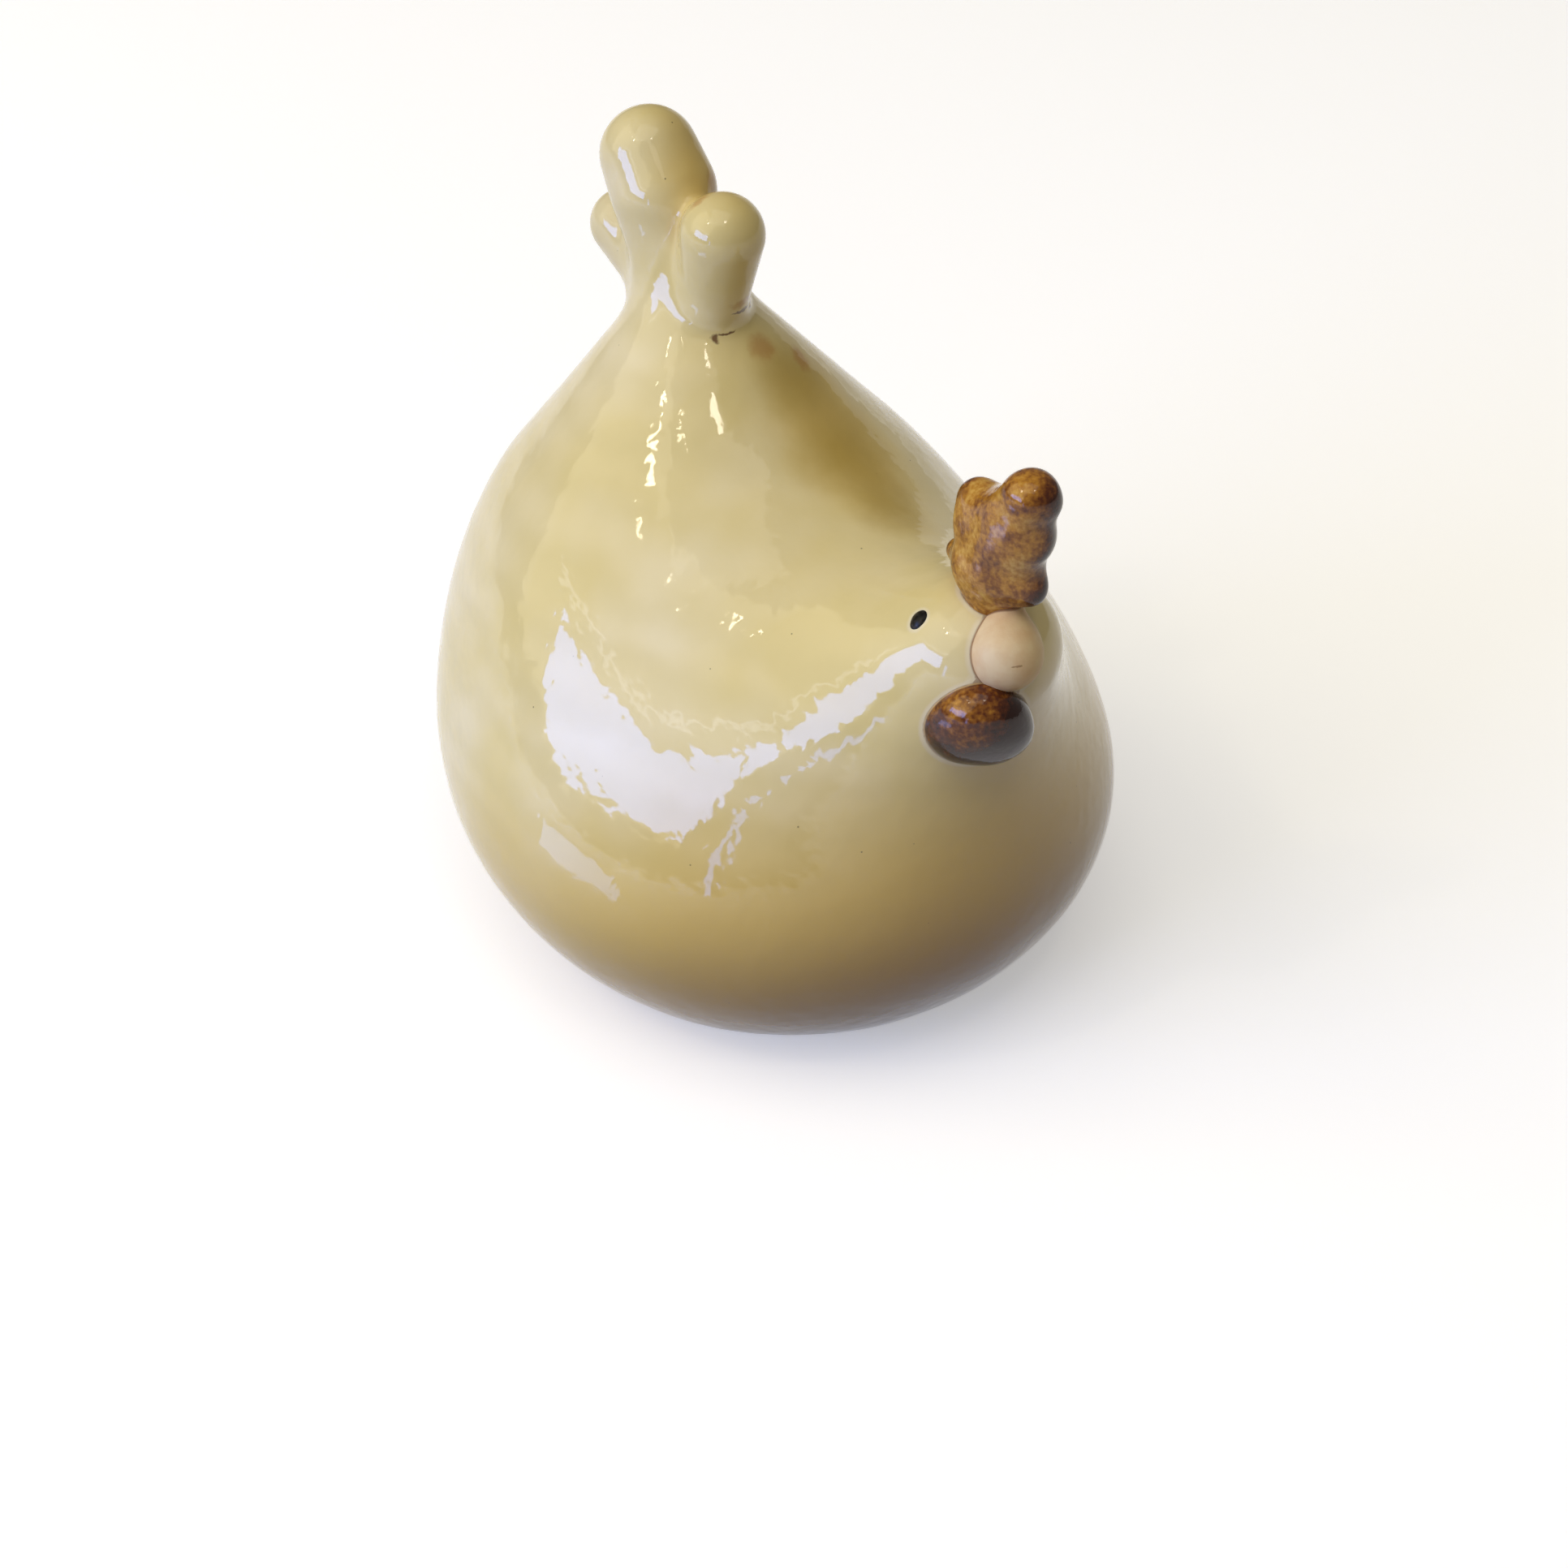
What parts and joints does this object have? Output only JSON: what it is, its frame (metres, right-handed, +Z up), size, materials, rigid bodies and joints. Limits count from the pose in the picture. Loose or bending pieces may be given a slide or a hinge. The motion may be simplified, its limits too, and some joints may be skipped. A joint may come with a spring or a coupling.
{
  "type": "hen figurine",
  "caption": "Squat glazed earthenware hen with a fanned tail, a lobed brown comb, a ball beak and a brown wattle, hollow and standing on a flat foot.",
  "frame": {"origin": "middle of the flat foot, on the surface that the hen stands on", "axes": "+Z up, -Y the way the hen faces, +X to the hen's left"},
  "size_m": [0.1236, 0.1437, 0.1497],
  "materials": {
    "cream_glaze": "glossy cream glaze"
  },
  "bodies": {
    "root": {"hen": "cream_glaze"}
  },
  "joints": []
}
